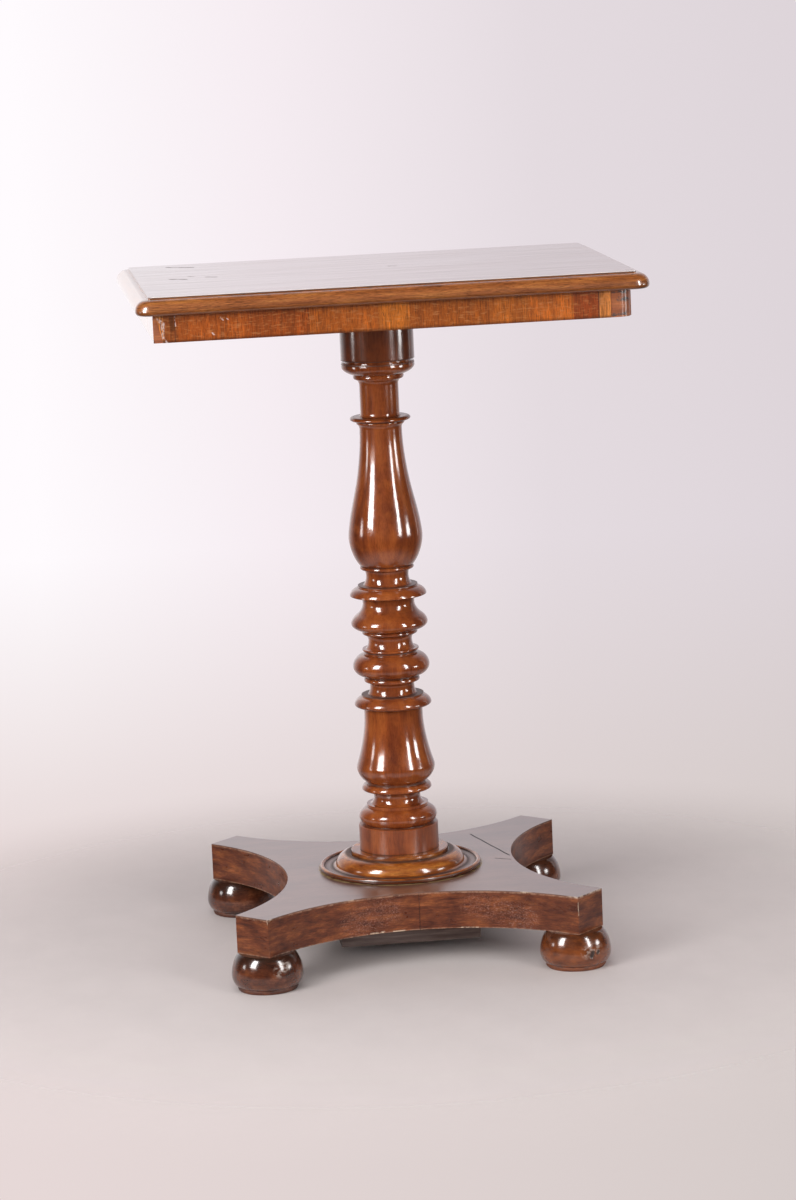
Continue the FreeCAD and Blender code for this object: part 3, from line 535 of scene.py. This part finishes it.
def polished_banding_veneer(name, axis, reach, leaves):
    """Cross banding on the apron: short leaves of upright mahogany veneer, polished and rubbed.

    Each leaf has its own tone. Dark figure and pale short bars cross the grain, painted shade
    darkens the top edge under the nosing, the bottom edge is darker, and some leaves have cracked
    or worn through. Their chips are a pale lilac that is partly a painted highlight. The leaves lie
    side by side along the axis, from minus to plus the reach, in millimetres.
    """
    made, tree, place = begin(name)
    share = level(tree, place, axis, (-reach, reach))
    stops = [(start, linear(text)) for start, text in leaves]
    leaf = add(tree, "ValToRGB", {"Fac": share}, stops=stops)
    leaf.color_ramp.interpolation = "CONSTANT"
    colour = grained(tree, place, leaf.outputs[0], BAND_GRAIN)
    shadow = patches(tree, place, BAND_GRAIN.figure, 5.0, (0.36, 0.62), (0.55, 0.0))
    colour = painted(tree, colour, "7A3A12", shadow)
    bars = patches(tree, place, (9, 9, 2.2), 4.0, (0.52, 0.68), (0.0, 0.5), (1.0, 5.0, 2.0))
    colour = painted(tree, colour, "C98550", bars)
    rubs = patches(tree, place, (3.5, 3.5, 1.1), 4.0, (0.66, 0.74), (0.0, 0.6), (8.0, 3.0, 4.0))
    colour = painted(tree, colour, "D9A277", rubs)
    # Painted shade under the nosing darkens the top edge; the bottom edge is painted darker too.
    upper = level(tree, place, "Z", BAND_SHADE_UNDER_NOSING, (0.0, 0.75))
    lower = level(tree, place, "Z", BAND_FOOT, (0.6, 0.0))
    colour = painted(tree, colour, "36160A", either(tree, upper, lower))
    colour = painted(tree, colour, "33200E", marks(tree, place, BAND_DIRT), 0.5)
    cracks = both(tree, marks(tree, place, BAND_CRACKS), 0.8)
    colour = painted(tree, colour, "2A130A", cracks)
    torn = patches(tree, place, (2.6, 2.6, 4.5), 3.0, (0.44, 0.56), start=(3.0, 6.0, 1.0))
    # Chips painted pale lilac, partly a painted highlight on the broken veneer.
    colour = painted(tree, colour, "DCC6C0", marks(tree, place, BAND_CHIPS_AND_HIGHLIGHTS), torn, 0.85)
    ripple = streaks(tree, place, (5, 5, 14), 3.0)
    polish = {"IOR": 1.45, "Coat Weight": 1.0, "Coat Roughness": 0.14}
    close(tree, colour, 0.3, ripple, 0.08, polish, dull=cracks)
    return made


def platform_chips(tree, place):
    """Ragged chips along the arrises of the platform, which show bare wood."""
    ragged = patches(tree, place, (5, 5, 5), 4.0, (0.4, 0.54), start=(2.0, 9.0, 4.0))
    return both(tree, marks(tree, place, FACING_CHIPS), ragged)


def worn_facing_veneer(finish, foot, top):
    """Mahogany veneer bent round the hollow sides of the platform, its grain level.

    The polish has dulled to satin in dark blots, it has flaked pale in two places at the front,
    and the arrises are chipped, and rubbed pale with a painted highlight along them. The foot and
    the top are its heights in millimetres.
    """
    made, tree, place = begin("worn_facing_veneer")
    dark, middle, pale = shades_of(finish, "facing")
    colour = wood(tree, place, (dark, middle, pale), FACING_GRAIN)
    blots = {"widths": (26, 26, 12), "detail": 2.0, "ends": (0.46, 0.7), "start": (6.0, 1.0, 3.0)}
    colour = painted(tree, colour, dark, patches(tree, place, shades=(0.0, 0.6), **blots))
    specks = patches(tree, place, (2.0, 2.0, 1.0), 5.0, (0.5, 0.68), (0.0, 0.55))
    flakes = both(tree, marks(tree, place, FACING_FLAKES), specks)
    colour = painted(tree, colour, "A8705C", flakes)
    upper = level(tree, place, "Z", [top - depth for depth in TOP_ARRIS])
    lower = level(tree, place, "Z", [foot + depth for depth in FOOT_ARRIS], (1.0, 0.0))
    broken = patches(tree, place, (5, 5, 5), 4.0, (0.42, 0.6), (0.15, 0.85), (2.0, 9.0, 4.0))
    # The arrises are rubbed pale, with a painted highlight along them.
    colour = painted(tree, colour, "A88068", either(tree, upper, lower), broken)
    chips = platform_chips(tree, place)
    colour = painted(tree, colour, "CDB39A", chips, 0.8)
    colour = painted(tree, colour, "2A1510", marks(tree, place, FACING_SEAMS), 0.6)
    sheen = patches(tree, place, shades=(0.34, 0.26), **blots)
    wear = either(tree, flakes, chips)
    ripple = streaks(tree, place, (12, 12, 4), 3.0)
    polish = {"IOR": 1.45, "Coat Weight": 0.05, "Coat Roughness": 0.3}
    close(tree, colour, sheen, ripple, 0.14, polish, cuts=(wear, 2.0), rubs=(wear, 0.3))
    return made


def satin_platform_veneer(finish):
    """Mahogany veneer on top of the platform, its polish worn to an even satin.

    Shrinkage cracks run through one arm, dust lies round the ring, and the arrises are chipped.
    """
    made, tree, place = begin("satin_platform_veneer")
    colour = wood(tree, place, shades_of(finish, "platform"), PLATFORM_GRAIN)
    wavy = streaks(tree, place, (16, 16, 16), 2.0)
    parts = {0: (CRACK_WANDER * MM, CRACK_WANDER * MM, 0), "Scale": wavy}
    wander = add(tree, "VectorMath", parts, operation="SCALE").outputs["Vector"]
    bent = add(tree, "VectorMath", {0: place, 1: wander}, operation="ADD").outputs["Vector"]
    split = marks(tree, bent, PLATFORM_CRACKS)
    colour = painted(tree, colour, "1A0E0B", split)
    parts = {0: place, 1: (1, 1, 0)}
    flat = add(tree, "VectorMath", parts, operation="MULTIPLY").outputs["Vector"]
    away = add(tree, "VectorMath", {0: flat}, operation="LENGTH").outputs["Value"]
    edge = between(RING_DUST[0] * MM, RING_DUST[1] * MM, 0.9, 0.0)
    near = add(tree, "MapRange", {"Value": away, **edge}).outputs[0]
    dust = both(tree, near, patches(tree, place, (9, 9, 9), 3.0, (0.38, 0.52)))
    colour = painted(tree, colour, "A58A5C", dust)
    colour = painted(tree, colour, "CDB39A", platform_chips(tree, place), 0.8)
    ripple = streaks(tree, place, (30, 12, 12), 3.0)
    polish = {"IOR": 1.6, "Coat Weight": 1.0, "Coat Roughness": 0.24}
    dull = either(tree, split, dust)
    close(tree, colour, 0.36, ripple, 0.06, polish, dull, cuts=(split, 6.0))
    return made


def planed_softwood(name, tones, stains=(), coat=0.0):
    """Planed softwood: wide growth rings, darker late wood lines and an open, matt surface.

    The apron's rails have dark stains and some old polish where the veneer is lost. The rest is
    bare.
    """
    made, tree, place = begin(name)
    colour = wood(tree, place, [linear(text) for text in tones], PINE_GRAIN)
    if stains:
        blotched = patches(tree, place, (4, 4, 2), 3.0, (0.4, 0.55))
        colour = painted(tree, colour, "4A3F3C", marks(tree, place, stains), blotched)
    polish = {"IOR": 1.45, "Coat Weight": coat, "Coat Roughness": 0.2}
    close(tree, colour, BARE, pores(tree, place, PINE_GRAIN), 0.1, polish)
    return made


def riven_beech():
    """Riven beech for the wedges: pale, close grained and bare, so it has no shine."""
    made, tree, place = begin("riven_beech")
    colour = wood(tree, place, [linear(text) for text in BEECH], BEECH_GRAIN)
    close(tree, colour, 0.6, pores(tree, place, BEECH_GRAIN), 0.05, {"IOR": 1.45})
    return made


def aged_screw_steel():
    """Cut steel screws gone dull grey with age, with patches of brown rust."""
    made, tree, place = begin("aged_screw_steel")
    rust = streaks(tree, place, (2.5, 2.5, 2.5), 4.0)
    stops = ((0.4, linear("6B6864")), (0.7, linear("5A3F2E")))
    colour = add(tree, "ValToRGB", {"Fac": rust}, stops=stops).outputs[0]
    close(tree, colour, 0.45, rust, 0.05, {"Metallic": 0.9})
    return made


def dress(names, finish):
    """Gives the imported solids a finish."""
    for name in names:
        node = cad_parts[name]
        node.data.materials.clear()
        node.data.materials.append(finish)


class TableFinish(bpy.types.PropertyGroup):
    """Colours of the polished woods and of the floor."""

    turned_dark: tone("Column dark", "Darkest wood of the column and the drum", "672E17")
    turned_middle: tone("Column", "Main wood of the column and the drum", "8A431F")
    turned_pale: tone("Column pale", "Orange patches of the column and the drum", "A85A2A")
    ring_dark: tone("Ring dark", "Darkest wood of the ring", "5F2C14")
    ring_middle: tone("Ring", "Main wood of the ring", "95501F")
    ring_pale: tone("Ring pale", "Palest wood of the ring", "C47A35")
    feet_dark: tone("Feet dark", "Darkest wood of the feet", "35190F")
    feet_middle: tone("Feet", "Main wood of the feet", "582C1A")
    feet_pale: tone("Feet pale", "Palest wood of the feet", "7E482B")
    nosing_dark: tone("Nosing dark", "Darkest wood of the nosing", "83451C")
    nosing_middle: tone("Nosing", "Main wood of the nosing", "A25C29")
    nosing_pale: tone("Nosing pale", "Palest wood of the nosing", "BA7434")
    field_dark: tone("Field dark", "Darkest wood of the top", "5A3020")
    field_middle: tone("Field", "Main wood of the top", "754632")
    field_pale: tone("Field pale", "Palest wood of the top", "8E5C42")
    facing_dark: tone("Facing dark", "Darkest wood of the platform sides", "441B0D")
    facing_middle: tone("Facing", "Main wood of the platform sides", "6E371D")
    facing_pale: tone("Facing pale", "Palest wood of the platform sides", "92522B")
    platform_dark: tone("Platform dark", "Darkest wood of the platform top", "543528")
    platform_middle: tone("Platform", "Main wood of the platform top", "6C4838")
    platform_pale: tone("Platform pale", "Palest wood of the platform top", "7D5745")
    floor_paper: tone("Floor", "Colour of the studio floor", "D9D0CE")


class StudioSettings(bpy.types.PropertyGroup):
    """Camera and light of the photograph."""

    camera_turn: FloatProperty(
        name="Camera turn",
        description="Turn of the camera round the table",
        default=math.radians(-6.64),
        unit="ROTATION",
    )
    camera_rise: FloatProperty(
        name="Camera rise",
        description="Rise of the camera over the floor",
        default=math.radians(10.07),
        unit="ROTATION",
    )
    camera_roll: FloatProperty(
        name="Camera roll",
        description="Roll of the camera",
        default=math.radians(-2.57),
        unit="ROTATION",
    )
    camera_distance: FloatProperty(
        name="Camera distance",
        description="Distance from the aim to the lens",
        default=4.19212,
        unit="LENGTH",
    )
    aim: FloatVectorProperty(
        name="Aim",
        description="Point that the camera looks at",
        default=(0.01028, 0.0, 0.36768),
        subtype="XYZ",
        unit="LENGTH",
    )
    lens: FloatProperty(
        name="Lens", description="Focal length in millimetres", default=118.6, min=1
    )
    lamp_level: FloatProperty(
        name="Lamp level", description="Brightness of all lamps", default=1.0, min=0
    )


# Studio

# Width of the film behind the lens in millimetres, and how far the camera sees in metres.
FILM_WIDTH = 36
FAR_END = 200

# Windows and lamps that the polish mirrors. Name, turn from the camera in degrees, distance, foot,
# head and width in metres, and brightness. They light nothing, so their brightness sets only the
# highlights.
WINDOWS = (
    ("left_window", -48, 1.9, 0.68, 2.0, 0.62, 22.0),
    ("far_left_lamp", -80, 2.1, 0.42, 0.68, 0.3, 9.0),
    ("right_window", 47, 2.2, 0.5, 2.0, 0.34, 20.0),
    ("side_lamp", 77, 2.2, 0.4, 0.7, 0.42, 16.0),
    ("back_window", 121, 2.2, 0.2, 1.6, 0.1, 1.6),
    ("left_paper", -161, 2.4, 0.2, 3.0, 0.55, 0.2),
)

# Broad lamps that light the wood and the floor, and leave no mirror image. Name, turn from the
# camera and rise in degrees, distance and side in metres, and brightness.
FILLS = (
    ("left_key", -42, 26, 2.4, 1.0, 9.6),
    ("right_key", 40, 22, 2.6, 1.0, 6.6),
    ("front_fill", -4, 20, 3.0, 1.8, 1.6),
    ("overhead_fill", -14, 58, 3.2, 2.0, 2.0),
)

# Where a direction, as the share of it that points away from the camera, leaves the dark room and
# meets the pale backdrop. Mirror images meet it later, so the backdrop is narrower in the polish.
BACKDROP = (-0.1, 0.75)
MIRRORED_BACKDROP = (0.3, 0.93)

# Where the backdrop goes from its left to its right tones, and from the floor's tones to the
# wall's, as shares of a direction to the right and upwards.
BACKDROP_TURN = (-0.1, 0.1)
BACKDROP_FOOT = (-0.235, -0.16)
WALL_STOPS = ((0.05, "FFFBFE"), (0.35, "F6EDF2"), (0.7, "E4DBE0"), (1.0, "DED5DA"))
FLOOR_STOPS = ((0.0, "E6D8D7"), (1.0, "D5CBC9"))

# Radius of the floor, and the radii between which its paper fades into the backdrop, in metres.
FLOOR_RADIUS = 2.7
FLOOR_FADE = (0.3, 0.8)


def around(turn, rise, distance):
    """The point at that turn, rise and distance from the origin, where turn 0 is in front."""
    flat = math.cos(rise) * distance
    return Vector((math.sin(turn) * flat, -math.cos(turn) * flat, math.sin(rise) * distance))


def place_camera(studio):
    """The camera at the photograph's viewing angle."""
    back = around(studio.camera_turn, studio.camera_rise, 1.0)
    right = Vector((math.cos(studio.camera_turn), math.sin(studio.camera_turn), 0))
    stand = Matrix((right, back.cross(right), back)).transposed()
    camera = bpy.data.objects.new("photo_camera", bpy.data.cameras.new("photo_camera"))
    camera.data.lens = studio.lens
    camera.data.sensor_width = FILM_WIDTH
    camera.data.clip_end = FAR_END
    camera.matrix_world = (
        Matrix.Translation(Vector(studio.aim) + back * studio.camera_distance)
        @ stand.to_4x4()
        @ Matrix.Rotation(studio.camera_roll, 4, "Z")
    )
    bpy.context.scene.collection.objects.link(camera)
    bpy.context.scene.camera = camera


def put_lamp(name, stand, way, sides, brightness):
    """Adds a rectangular lamp that the camera doesn't see, facing a way.

    Its brightness is how bright it looks, whatever its size.
    """
    lamp = bpy.data.lights.new(name, "AREA")
    lamp.shape = "RECTANGLE"
    lamp.size, lamp.size_y = sides
    lamp.energy = brightness * math.pi * sides[0] * sides[1]
    made = bpy.data.objects.new(name, lamp)
    facing = way.to_track_quat("-Z", "Y").to_matrix().to_4x4()
    made.matrix_world = Matrix.Translation(stand) @ facing
    made.visible_camera = False
    bpy.context.scene.collection.objects.link(made)
    return made


def place_lamps(studio):
    """Tall windows that show only in the polish, and broad lamps that show only as light."""
    for name, turn, distance, foot, head, width, brightness in WINDOWS:
        stand = around(studio.camera_turn + math.radians(turn), 0, distance)
        stand.z = (foot + head) / 2
        flat = Vector((-stand.x, -stand.y, 0))
        lamp = put_lamp(name, stand, flat, (width, head - foot), brightness * studio.lamp_level)
        lamp.visible_diffuse = False
    for name, turn, rise, distance, side, brightness in FILLS:
        stand = around(studio.camera_turn + math.radians(turn), math.radians(rise), distance)
        lamp = put_lamp(name, stand, -stand, (side, side), brightness * studio.lamp_level)
        lamp.visible_glossy = False


def light_world(studio):
    """A pale backdrop behind and beside the table, and a dark room behind the camera.

    The camera sees the backdrop everywhere, brighter to the left. The polish mirrors a narrower one
    than the light comes from, so that the sides of the turned pieces keep their dark edges.
    """
    world = bpy.data.worlds.new("studio")
    bpy.context.scene.world = world
    world.use_nodes = True
    tree = world.node_tree
    tree.nodes.clear()
    way = add(tree, "TexCoord").outputs["Generated"]
    right = (math.cos(studio.camera_turn), math.sin(studio.camera_turn), 0)
    back = (-math.sin(studio.camera_turn), math.cos(studio.camera_turn), 0)

    parts = {0: way, 1: right}
    across = add(tree, "VectorMath", parts, operation="DOT_PRODUCT").outputs["Value"]
    turn = add(tree, "MapRange", {"Value": across, **between(*BACKDROP_TURN)}).outputs[0]
    tones = []
    for each in (FLOOR_STOPS, WALL_STOPS):
        stops = [(spot, linear(text)) for spot, text in each]
        tones.append(add(tree, "ValToRGB", {"Fac": turn}, stops=stops).outputs[0])
    rise = add(tree, "SeparateXYZ", {0: way}).outputs[2]
    wall = add(tree, "MapRange", {"Value": rise, **between(*BACKDROP_FOOT)}).outputs[0]
    backdrop = painted(tree, *tones, wall)

    parts = {0: way, 1: back}
    away = add(tree, "VectorMath", parts, operation="DOT_PRODUCT").outputs["Value"]
    edges = []
    for each in (BACKDROP, MIRRORED_BACKDROP):
        parts = {"Value": away, **between(*each)}
        edges.append(add(tree, "MapRange", parts, interpolation_type="SMOOTHSTEP").outputs[0])
    lit, mirrored = edges
    seen = add(tree, "LightPath")
    parts = {0: seen.outputs["Is Glossy Ray"], 2: lit, 3: mirrored}
    behind = add(tree, "Mix", parts).outputs[0]
    room = painted(tree, linear("3C3836"), backdrop, behind)
    shown = painted(tree, room, backdrop, seen.outputs["Is Camera Ray"])
    sky = add(tree, "Background", {"Color": shown, "Strength": 1.0})
    add(tree, "OutputWorld", {"Surface": sky.outputs[0]})


def seamless_floor_paper(finish):
    """Seamless background paper: matt, faintly mottled, and fading into the backdrop behind it."""
    made, tree, place = begin("seamless_floor_paper")
    mottle = patches(tree, place, (60, 90, 60), 5.0, (0.3, 0.7), (0.97, 1.02))
    parts = {0: 1.0, 6: finish.floor_paper, 7: mottle}
    colour = add(tree, "Mix", parts, data_type="RGBA", blend_type="MULTIPLY").outputs[2]
    inputs = {"Base Color": colour, "Roughness": 0.8, "Specular IOR Level": 0.2}
    paper = add(tree, "BsdfPrincipled", inputs)
    reach = add(tree, "VectorMath", {0: place}, operation="LENGTH").outputs["Value"]
    parts = {"Value": reach, **between(*FLOOR_FADE)}
    gone = add(tree, "MapRange", parts, interpolation_type="SMOOTHSTEP").outputs[0]
    clear = add(tree, "BsdfTransparent")
    faded = add(tree, "MixShader", {0: gone, 1: paper.outputs[0], 2: clear.outputs[0]})
    add(tree, "OutputMaterial", {"Surface": faded.outputs[0]})
    return made


def lay_floor(finish):
    """The floor that the feet stand on."""
    made = bmesh.new()
    bmesh.ops.create_circle(made, cap_ends=True, segments=96, radius=FLOOR_RADIUS)
    mesh = bpy.data.meshes.new("studio_floor")
    made.to_mesh(mesh)
    made.free()
    mesh.materials.append(seamless_floor_paper(finish))
    floor = bpy.data.objects.new("studio_floor", mesh)
    bpy.context.scene.collection.objects.link(floor)


class TABLE_OT_studio(bpy.types.Operator):
    """Puts up the floor, the lamps, the backdrop and the camera"""

    bl_idname = "table.studio"
    bl_label = "Studio"

    def execute(self, context):
        studio = context.scene.table_studio
        place_camera(studio)
        place_lamps(studio)
        light_world(studio)
        lay_floor(context.scene.table_finish)
        context.scene.view_settings.view_transform = "Standard"
        return {"FINISHED"}


class TABLE_OT_column(bpy.types.Operator):
    """Polishes the two lengths of the column, its collar, drum and base ring"""

    bl_idname = "table.column"
    bl_label = "Column"

    def execute(self, context):
        finish = context.scene.table_finish
        tones = shades_of(finish, "turned")
        # The collar takes darker tones: a painted shadow of the top that overhangs it.
        shadowed_tones = (finish.turned_dark, finish.facing_middle, finish.turned_middle)
        upper = polished_turned_mahogany("polished_upper_column_mahogany", tones, UPPER_CREASES)
        lower = polished_turned_mahogany(
            "polished_lower_column_mahogany", tones, LOWER_CREASES, VASE_CRACK
        )
        collar = polished_turned_mahogany(
            "polished_collar_mahogany", shadowed_tones, COLLAR_CREASES, sheen=(0.15, 0.22)
        )
        drum = polished_turned_mahogany(
            "satin_drum_mahogany", tones, DRUM_CREASES, sheen=(0.27, 0.36), coat=0.2
        )
        dress(("column_upper",), upper)
        dress(("column_lower",), lower)
        dress(("collar",), collar)
        dress(("column_drum",), drum)
        dress(("base_ring",), polished_ring_mahogany(finish))
        dress(WEDGES, riven_beech())
        return {"FINISHED"}


class TABLE_OT_top(bpy.types.Operator):
    """Polishes the top, its apron and what holds them"""

    bl_idname = "table.top"
    bl_label = "Top"

    def execute(self, context):
        finish = context.scene.table_finish
        dress(("top_board",), polished_nosing_mahogany(finish))
        dress(("top_field_veneer",), polished_field_veneer(finish))
        long_sides = polished_banding_veneer(
            "polished_long_banding_veneer", "X", LONG_REACH, LONG_LEAVES
        )
        short_sides = polished_banding_veneer(
            "polished_short_banding_veneer", "Y", SHORT_REACH, SHORT_LEAVES
        )
        dress(LONG_BANDS, long_sides)
        dress(SHORT_BANDS, short_sides)
        dress(RAILS, planed_softwood("aged_red_pine", AGED_RED_PINE, RAIL_STAINS, coat=0.6))
        dress(("glue_blocks", "top_bearer"), planed_softwood("planed_pine", PINE))
        return {"FINISHED"}


class TABLE_OT_platform(bpy.types.Operator):
    """Finishes the platform, its facings, the under block and the screws"""

    bl_idname = "table.platform"
    bl_label = "Platform"

    def execute(self, context):
        finish = context.scene.table_finish
        foot, top = (end[2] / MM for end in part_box("platform_facing_front"))
        dress(FACINGS, worn_facing_veneer(finish, foot, top))
        dress(("platform_top_veneer",), satin_platform_veneer(finish))
        dress(CORES, planed_softwood("grey_planed_pine", GREY_PINE))
        dress(("under_block",), planed_softwood("dusty_stained_pine", DUSTY_PINE))
        dress(SCREWS, aged_screw_steel())
        return {"FINISHED"}


class TABLE_OT_feet(bpy.types.Operator):
    """Polishes the four bun feet"""

    bl_idname = "table.feet"
    bl_label = "Feet"

    def execute(self, context):
        dress(FEET, polished_dark_mahogany(context.scene.table_finish))
        return {"FINISHED"}


OPERATORS = (TABLE_OT_studio, TABLE_OT_column, TABLE_OT_top, TABLE_OT_platform, TABLE_OT_feet)


class TABLE_PT_sidebar(bpy.types.Panel):
    """Lists the steps, the colours and the studio settings"""

    bl_idname = "TABLE_PT_sidebar"
    bl_label = "Pedestal Table"
    bl_space_type = "VIEW_3D"
    bl_region_type = "UI"
    bl_category = "Table"

    def draw(self, context):
        for step in OPERATORS:
            self.layout.operator(step.bl_idname)
        for group in (context.scene.table_finish, context.scene.table_studio):
            box = self.layout.box()
            for name in group.bl_rna.properties.keys():
                if name not in ("rna_type", "name"):
                    box.prop(group, name)


CLASSES = (TableFinish, StudioSettings) + OPERATORS + (TABLE_PT_sidebar,)


def register():
    for each in CLASSES:
        bpy.utils.register_class(each)
    bpy.types.Scene.table_finish = PointerProperty(type=TableFinish)
    bpy.types.Scene.table_studio = PointerProperty(type=StudioSettings)


def unregister():
    del bpy.types.Scene.table_studio
    del bpy.types.Scene.table_finish
    for each in reversed(CLASSES):
        bpy.utils.unregister_class(each)


def main():
    """Runs every step in order."""
    register()
    bpy.ops.table.studio()
    bpy.ops.table.column()
    bpy.ops.table.top()
    bpy.ops.table.platform()
    bpy.ops.table.feet()


if __name__ == "__main__":
    main()
